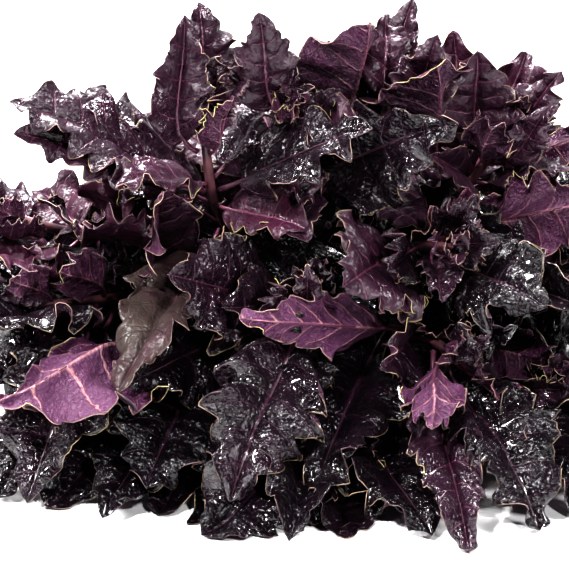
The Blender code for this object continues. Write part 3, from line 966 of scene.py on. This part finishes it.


# %% [markdown]
# ## The large leaves
# The upright leaves at the top of the heap are purple or wine red, partly their own colour
# and partly painted glow of the light that shines through them from behind. Those that lie
# low are black and wet, and some are turned over and show their magenta side. All of it
# could be left to dice, but these are the leaves that the eye knows the bunch by, so what
# is out of the ordinary is written down leaf by leaf.

# %% What sets the large leaves apart
SLOTS = {part["node"]: part["material_slot"] for part in frame["record"]["subparts"]}
SLOT_TONES = {
    "leaf": {"tone": 0.12, "flush": 0.2},
    "wine": {"tone": 1.0, "flush": 0.3},
    "underside": {"tone": 0.4, "flush": 0.8},
}
SPECIAL = {
    "leaf_01_a": {
        "tone": 0.42, "teeth": 0.44, "fold": 0.30, "recurve": 0.35,
        "veins": 6.6, "round": 1.2, "wide": 0.98, "blunt": 1.0,
    },
    "leaf_01_b": {"tone": 0.20, "teeth": 0.24, "fold": 0.25, "recurve": 0.30},
    "leaf_01_c": {"tone": 0.55, "teeth": 0.20, "wide": 1.2, "tuck": (0.3, 0.0)},
    "leaf_01_d": {"tone": 0.50, "teeth": 0.18, "wide": 0.9, "tuck": (0.4, 0.0)},
    # leaf_01_e's taupe is partly its own grey-brown and partly a painted reflection of the bright room.
    "leaf_01_e": {"tone": 1.75, "teeth": 0.26, "fold": 0.45, "ruffle": 3.6},
    "leaf_02_a": {
        "tone": 0.95, "flush": 0.25, "teeth": 0.12, "veins": 5.4,
        "ruffle": 2.2, "twist": 8, "blunt": 0.0, "tuck": (0.55, 0.0),
    },
    "leaf_02_b": {"tone": 0.60},
    "leaf_02_c": {"tone": 0.55, "teeth": 0.16},
    "leaf_02_d": {"tone": 0.70},
    "leaf_03_a": {"flush": 0.15, "blunt": 0.8, "wide": 1.1},
    "leaf_03_b": {"tone": 0.60, "teeth": 0.16, "wide": 0.85},
    "leaf_03_c": {"tone": 0.75, "teeth": 0.14, "veins": 6.5, "twist": 0},
    "leaf_03_d": {"flush": 0.45},
    "leaf_05_a": {"tone": 0.85},
    "leaf_05_c": {"tone": 0.80},
    "leaf_05_d": {"tone": 0.70},
    "leaf_06_b": {"flush": 0.35, "tone": 0.60},
    "leaf_06_c": {"flush": 0.35, "ruffle": 2.4, "fold": 0.50},
    "leaf_07_a": {
        "flush": 1.1, "teeth": 0.26, "round": 1.4, "puff": 1.3,
        "fold": 0.2, "ruffle": 4.5, "tuck": (0.6, 0.0),
    },
    "leaf_08_a": {"tone": 0.5, "teeth": 0.16, "ruffle": 1.8, "blunt": 0.2},
    "leaf_08_b": {
        "tone": 0.15, "teeth": 0.22, "fold": 0.25, "recurve": 0.35, "blunt": 0.0, "tuck": (0.45, 0.0),
    },
    "leaf_08_c": {"tone": 0.65, "teeth": 0.14},
    "leaf_09_a": {"tone": 0.2, "wide": 0.85, "fold": 0.8, "ruffle": 4.8, "recurve": 0.7},
    "leaf_09_b": {"tone": 0.30},
    "leaf_11_a": {"flush": 1.0, "wide": 0.75, "ruffle": 2.6, "fold": 0.8},
    "leaf_11_c": {"flush": 1.1, "wide": 0.8, "puff": 0.9, "teeth": 0.2, "blunt": 0.0, "round": 0.8},
    "leaf_11_d": {"tone": 0.45, "teeth": 0.16, "puff": 1.2},
    "leaf_12_a": {"tone": 0.60, "ruffle": 2.4},
    "leaf_12_b": {"flush": 0.28},
}
print(len(SPECIAL), "large leaves are out of the ordinary")

# %% [markdown]
# ## Making the large leaves
# Each leaf takes the place of its solid, with the tones of that solid's material slot. Its
# dice have a seed of their own, so that a change to one leaf leaves the rest as they are.

# %% Large leaves
FIRST_SEED = 11
for seed, node in enumerate(leaf_nodes, FIRST_SEED):
    changes = {**SLOT_TONES[SLOTS[node]], **SPECIAL.get(node, {})}
    leaf = make_leaf(node + "_skin", plans[node], seed, **changes)
    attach(leaf, "root")
    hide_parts(node)
print(len(leaf_nodes), "large leaves made")

# %% [markdown]
# ## A place on a stem
# Every leaf stands on a stem at a joint. Its place is given as a share of the stem's length,
# 0 at the cut and 1 at the tip, which stays right if a stem is bent another way.

# %% Place on a stem
def along_stem(node, share):
    """A point on a stem, the direction in which the stem grows there, and its radius."""
    middles, radii = stems[node]
    spot = lengths_along(middles)
    at = np.array([share * spot[-1]])
    ahead = np.minimum(at + 1 * MM, spot[-1])
    behind = ahead - 2 * MM
    heading = unit(smooth_at(spot, middles, ahead) - smooth_at(spot, middles, behind))[0]
    return smooth_at(spot, middles, at)[0], heading, float(np.interp(at[0], spot, radii))


print("half-way up, stem_01 is", round(2 * along_stem("stem_01", 0.5)[2] / MM, 1), "mm thick")


# %% [markdown]
# ## Planning a smaller leaf
# The smaller leaves have no solid to take a plan from, so theirs is drawn between a joint
# on a stem and a tip. The midrib is a smooth curve that leaves the stem at a slant and bows
# towards the tip, and the outline is widest at about two fifths of the blade.

# %% Plan a leaf between two points
def plan_between(node, share, tip, facing, width, bow):
    """A leaf's plan from a place on a stem to a tip. Points in metres, width in millimetres."""
    joint, heading, radius = along_stem(node, share)
    chord = tip - joint
    outward = unit(chord - heading * (chord @ heading) + 1e-9)
    leaving = unit(outward + heading * 0.55)
    start = joint + outward * (radius + 0.4 * MM)
    chord = tip - start
    reach = np.linalg.norm(chord)
    up = unit(facing - chord * (facing @ chord) / reach**2)
    arriving = unit(chord / reach - up * bow)
    b, c = start + leaving * reach * 0.3, tip - arriving * reach * 0.36
    t = np.array([0.0, 0.07, *np.linspace(0.14, 1.0, 12)])[:, None]
    middle = start * (1 - t) ** 3 + b * 3 * t * (1 - t) ** 2 + c * 3 * t**2 * (1 - t) + tip * t**3
    slope = unit((b - start) * (1 - t) ** 2 + (c - b) * 2 * t * (1 - t) + (tip - c) * t**2)
    side = unit(np.cross(slope, up))
    blade = np.clip((t[:, 0] - 0.14) / 0.86, 0, 1)
    peak = 0.38**0.62 * 0.62**1.01
    half = np.maximum(0.5 * width * MM * blade**0.62 * (1 - blade) ** 1.01 / peak, 0.8 * MM)
    up = np.cross(side, slope)
    return {"middle": middle, "side": side, "up": up, "half": half, "blade": PETIOLE_RINGS}


# %% [markdown]
# ## What a leaf would touch
# Leaves push each other aside, so a new leaf must not go through what is there. The finished
# leaf has thousands of faces, which would be slow to test, so a rough sheet of three points
# a row stands in for it. The solids come first, and each new leaf adds its own sheet.

# %% Rough sheets
MARGIN_LIFT = 0.12


def rough_tree(plan):
    """A coarse sheet over the plan, to ask what the leaf would touch."""
    rows = len(plan["middle"])
    points, faces = [], []
    for row in range(1, rows):
        half, side, up = plan["half"][row], plan["side"][row], plan["up"][row]
        for across in (-1.0, 0.0, 1.0):
            lift = MARGIN_LIFT if across else 0.0
            points.append(plan["middle"][row] + side * across * half + up * lift * half)
    for row in range(rows - 2):
        for i in (0, 1):
            a = row * 3 + i
            faces += [(a, a + 1, a + 4), (a, a + 4, a + 3)]
    return BVHTree.FromPolygons([Vector(point) for point in above_floor(np.array(points))], faces)


def solid_tree():
    points, faces = [], []
    for thing in frame["nodes"].values():
        first = len(points)
        points += [vert.co.copy() for vert in thing.data.vertices]
        faces += [[first + i for i in face.vertices] for face in thing.data.polygons]
    return BVHTree.FromPolygons(points, faces)


TAKEN = [solid_tree()]
print("the solids come first, with", sum(len(n.data.polygons) for n in frame["nodes"].values()), "faces")


# %% [markdown]
# ## Finding room
# The rough sheet is tried in one direction after another, and the direction that touches
# least, and turns the leaf least, is taken. A physics simulation of so many leaves would be
# slow and could end anywhere.

# %% Find room for a leaf
TOUCH_COST = 20
LITTLE_TURN = 24
TURNS = (0, 12, -12, 24, -24, 36, -36)


def turned(vector, axis, degrees):
    return np.array(Matrix.Rotation(math.radians(degrees), 3, Vector(axis)) @ Vector(vector))


def find_room(node, share, tip, facing, width, bow, most=60):
    """The plan turned about its joint by as little as lets it hang clear, its rough sheet,
    how many degrees it was turned, and how many faces still touch."""
    joint = along_stem(node, share)[0]
    chord = unit(tip - joint)
    side = unit(np.cross(chord, facing))
    up = np.cross(side, chord)
    best = None
    for swing in TURNS:
        for lift in TURNS:
            degrees = abs(swing) + abs(lift)
            if degrees > most:
                continue
            moved = joint + turned(turned(tip - joint, up, swing), side, lift)
            faces = turned(turned(facing, up, swing), side, lift)
            plan = plan_between(node, share, moved, faces, width, bow)
            tree = rough_tree(plan)
            touching = sum(len(tree.overlap(other)) for other in TAKEN)
            cost = touching * TOUCH_COST + degrees
            if best is None or cost < best[0]:
                best = (cost, plan, tree, degrees, touching)
            if touching == 0 and degrees <= LITTLE_TURN:
                return best[1:]
    return best[1:]


print("up to", len(TURNS) ** 2, "directions are tried")


# %% [markdown]
# ## Leaves placed one by one
# Some smaller leaves are placed one by one: dark ones deep in the heap, which close it
# where the light would come through, ones that lie on the table along its front, and a few
# that stand out at its top and its left. Each has a stem, a place on it as a share of its
# length, a tip in millimetres, the direction that its upper side faces, its width, how much
# it bows, and how it differs. "Most" is how many degrees it may be turned to find room,
# where that isn't 24.

# %% List of the leaves placed one by one
UPRIGHT, LYING = (0.0, -0.9, 0.4), (0.0, -0.5, 0.9)
PLACED = {
    "back_left_a": ("stem_05", 0.62, (-62, 5, 88), (0.1, -0.9, 0.5), 44, 0.2, {"tone": 0.5}),
    "back_left_b": ("stem_05", 0.55, (-78, 0, 72), (0.0, -0.9, 0.5), 38, 0.3, {"tone": 0.6}),
    "back_left_c": ("stem_01", 0.55, (-40, 12, 98), (-0.1, -0.9, 0.4), 46, 0.2, {"tone": 0.4}),
    "back_left_d": ("stem_01", 0.62, (-70, 0, 96), (0.2, -0.9, 0.5), 40, 0.2, {"tone": 0.5}),
    "low_left_a": ("stem_06", 0.66, (-112, -35, 38), (-0.2, -0.8, 0.5), 42, 0.3, {}),
    "low_left_b": ("stem_06", 0.72, (-98, -55, 20), (-0.1, -0.8, 0.6), 42, 0.3, {}),
    "low_left_c": ("stem_07", 0.70, (-92, -72, 8), (0.0, -0.6, 0.8), 40, 0.2, {}),
    "low_right_a": ("stem_13", 0.60, (74, -20, 44), UPRIGHT, 44, 0.2, {}),
    "low_right_b": ("stem_13", 0.72, (94, -30, 38), (0.1, -0.9, 0.5), 42, 0.2, {}),
    "low_right_c": ("stem_13", 0.80, (102, -48, 26), (0.2, -0.8, 0.6), 40, 0.3, {}),
    "back_right_a": ("stem_04", 0.62, (92, 8, 66), (0.1, -0.9, 0.4), 44, 0.2, {"tone": 0.5}),
    "back_right_b": ("stem_04", 0.72, (106, -6, 52), (0.2, -0.9, 0.4), 42, 0.2, {}),
    "inner_a": ("stem_08", 0.50, (-43, 6, 64), UPRIGHT, 48, 0.1, {"tone": 0.1}),
    "inner_b": ("stem_05", 0.60, (-98, 10, 56), UPRIGHT, 46, 0.1, {"tone": 0.2}),
    "inner_c": ("stem_12", 0.50, (52, 8, 74), UPRIGHT, 46, 0.1, {"tone": 0.1}),
    "inner_d": ("stem_13", 0.50, (92, 4, 23), UPRIGHT, 48, 0.1, {"tone": 0.1}),
    "inner_e": ("stem_06", 0.68, (-116, -18, 24), UPRIGHT, 48, 0.1, {"tone": 0.1}),
    "inner_f": ("stem_05", 0.60, (-114, -12, 52), UPRIGHT, 44, 0.1, {"tone": 0.15, "most": 0}),
    "inner_g": ("stem_05", 0.38, (-80, 12, 46), UPRIGHT, 40, 0.1, {"tone": 0.1, "most": 0}),
    "inner_h": ("stem_13", 0.55, (110, -8, 26), UPRIGHT, 44, 0.1, {"tone": 0.1, "most": 0}),
    "fan_a": ("stem_03", 0.92, (57, -30, 133), (-0.1, -1.0, 0.1), 32, 0.1, {"tone": 0.6, "most": 0}),
    "fan_b": ("stem_03", 0.88, (49, -28, 136), (-0.1, -1.0, 0.1), 28, 0.1, {"tone": 0.7, "most": 12}),
    "left_reach": (
        "stem_01", 0.85, (-95, -60, 113), (0.2, -0.6, 0.7), 28, 0.3, {"tone": 0.5, "teeth": 0.38, "most": 0},
    ),
    "front_low_a": ("stem_10", 0.86, (6, -124, 3), LYING, 40, 0.3, {"tone": 0.1}),
    "front_low_d": ("stem_10", 0.95, (14, -133, 3), (0.1, -0.5, 0.9), 38, 0.3, {"tone": 0.1}),
    "front_low_e": ("stem_10", 0.90, (26, -128, 3), LYING, 36, 0.3, {"tone": 0.2}),
    "front_low_f": ("stem_07", 0.85, (-65, -116, 3), LYING, 38, 0.3, {"tone": 0.1}),
    "front_low_g": ("stem_06", 0.88, (-90, -105, 3), (0.0, -0.6, 0.8), 38, 0.3, {"tone": 0.2, "most": 8}),
    "front_low_h": ("stem_10", 0.90, (-6, -130, 2), LYING, 42, 0.3, {"tone": 0.1, "most": 10}),
    "front_right": ("stem_13", 0.95, (84, -112, 2), (0.2, -0.6, 0.8), 44, 0.3, {"tone": 0.1, "most": 10}),
    "left_edge": ("stem_06", 0.80, (-100, -80, 40), (0.1, -0.8, 0.6), 38, 0.3, {"tone": 0.2}),
    "front_low_b": ("stem_10", 0.86, (-21, -128, 3), (0.1, -0.5, 0.9), 40, 0.2, {"tone": 0.0}),
    "front_low_c": ("stem_07", 0.92, (-52, -112, 3), (0.1, -0.5, 0.9), 38, 0.2, {"tone": 0.0}),
    "top_fold": ("stem_01", 0.97, (-22, -42, 132), (-0.7, -0.6, 0.2), 12, 0.4, {"tone": 0.4, "fold": 0.9}),
    "top_back_a": ("stem_02", 0.92, (28, -14, 144), (0.1, -1.0, 0.2), 20, 0.2, {"tone": 0.7, "most": 12}),
    "top_back_b": ("stem_08", 0.76, (0, 4, 126), (0.0, -1.0, 0.2), 22, 0.2, {"tone": 0.7, "most": 12}),
    "burgundy": ("stem_05", 0.82, (-58, -52, 106), (0.3, -0.9, 0.2), 26, 0.2, {"tone": 0.8}),
}
print(len(PLACED), "leaves to place")

# %% [markdown]
# ## Placing them
# The list is worked through from the top, and a leaf looks for room among all those before
# it. Each stem keeps a list of its own smaller leaves, to be joined at the end.

# %% Leaves placed one by one
sprigs = {node: [] for node in stem_nodes}
for seed, (name, entry) in enumerate(PLACED.items(), 8000):
    node, share, tip, facing, width, bow, changes = entry
    most = changes.pop("most", LITTLE_TURN)
    tip = np.array(tip) * MM
    plan, sheet, degrees, touching = find_room(node, share, tip, np.array(facing), width, bow, most)
    TAKEN.append(sheet)
    sprigs[node].append(make_leaf(name, plan, seed, MEDIUM, **changes))
    print(name, "turned", degrees, "degrees, touches", touching)

# %% [markdown]
# ## Growing the pairs
# Basil leaves stand in pairs, nine of them on a sprig here. The pairs close to the tip are
# small and make a rosette. Each row gives a pair's place on the stem and its length in
# millimetres. In four places the bunch stays open, and those are kept clear, each with its
# middle and how far round it.

# %% Where pairs stand
CLEARINGS = (((41, -40, 115), 12), ((-98, -30, 98), 18), ((-53, -35, 126), 10), ((84, -20, 106), 8))
PAIRS = (
    (0.52, 40), (0.60, 44), (0.67, 46), (0.74, 46), (0.81, 44),
    (0.87, 38), (0.92, 30), (0.96, 22), (0.985, 15),
)


def in_clearing(plan):
    way = plan["middle"] / MM
    return any(np.linalg.norm(way - spot, axis=1).min() < around for spot, around in CLEARINGS)


print(len(PAIRS), "pairs on each of", len(stem_nodes), "stems, and", len(CLEARINGS), "clearings")


# %% [markdown]
# ## Pair by pair
# Each pair is turned a quarter round the stem from the last. The leaves could be copies of
# one leaf, but the eye finds copies at once, so each is made with its own dice. A leaf is
# left out if it leaves the box, finds no room, or comes into a clearing. Leaves higher up
# are redder, a painted glow of the light that shines through them, and one in eight is
# wine red.

# %% Grow the pairs
MOST_TOUCHING = 6
WINE_RED_SHARE = 0.12
BOX_LOW, BOX_HIGH = np.array(low) - 6 * MM, np.array(high) + 4 * MM
grown = dropped = 0
for number, node in enumerate(stem_nodes):
    for pair, (share, length) in enumerate(PAIRS):
        joint, heading, radius = along_stem(node, share)
        dice = np.random.default_rng(1000 + 50 * number + pair)
        first = unit(np.cross(heading, [0.3, 0.2, 1.0]))
        second = np.cross(heading, first)
        turn = math.radians(90 * pair + 25 * number + dice.uniform(-20, 20))
        for half_turn in (0, math.pi):
            outward = first * math.cos(turn + half_turn) + second * math.sin(turn + half_turn)
            lean = math.radians(np.interp(share, (0.5, 0.85, 1.0), (62, 50, 22)))
            size = length * dice.uniform(0.85, 1.12)
            chord = heading * math.cos(lean) + outward * math.sin(lean)
            chord = unit(chord + np.array([0.0, 0.0, -0.30]) * (share < 0.9))
            tip = joint + chord * size * MM
            if (tip < BOX_LOW).any() or (tip > BOX_HIGH).any():
                dropped += 1
                continue
            width, bow = size * dice.uniform(0.52, 0.66), dice.uniform(0.15, 0.5)
            plan, sheet, _, touching = find_room(node, share, tip, heading, width, bow)
            if touching > MOST_TOUCHING or in_clearing(plan):
                dropped += 1
                continue
            TAKEN.append(sheet)
            height = plan["middle"][:, 2].mean() / MM
            # Painted glow: higher leaves get a redder tone, standing for light that shines through them.
            tone = dice.uniform(-0.15, 0.4) + np.interp(height, (60, 110), (0.0, 0.45))
            if dice.uniform() < WINE_RED_SHARE:
                tone += 0.7
            young = float(np.interp(size, (15, 35), (0.45, 1.0)))
            leaf = make_leaf(
                f"{node}_small_{pair}_{int(half_turn > 0)}", plan, 5000 + grown,
                SMALL if size > 22 else TINY, tone=tone, flush=dice.uniform(0.0, 0.7), thick=0.24,
                puff=0.6 * young, ruffle=dice.uniform(1.5, 3.2) * young, stalk=0.8 * young,
            )
            sprigs[node].append(leaf)
            grown += 1
print(grown, "smaller leaves grown,", dropped, "left out")

# %% [markdown]
# ## One piece for each sprig
# Two hundred separate small leaves would be hard to handle, so those on one stem are
# joined. They stand for no solid of their own: the bunch's weight already counts them.

# %% Join each sprig's smaller leaves
for node, leaves in sprigs.items():
    select_only(*leaves)
    bpy.ops.object.join()
    sprig = bpy.context.object
    sprig.name = node.replace("stem", "sprig") + "_leaves"
    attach(sprig, "root")
    print(sprig.name, "holds", len(leaves), "leaves")
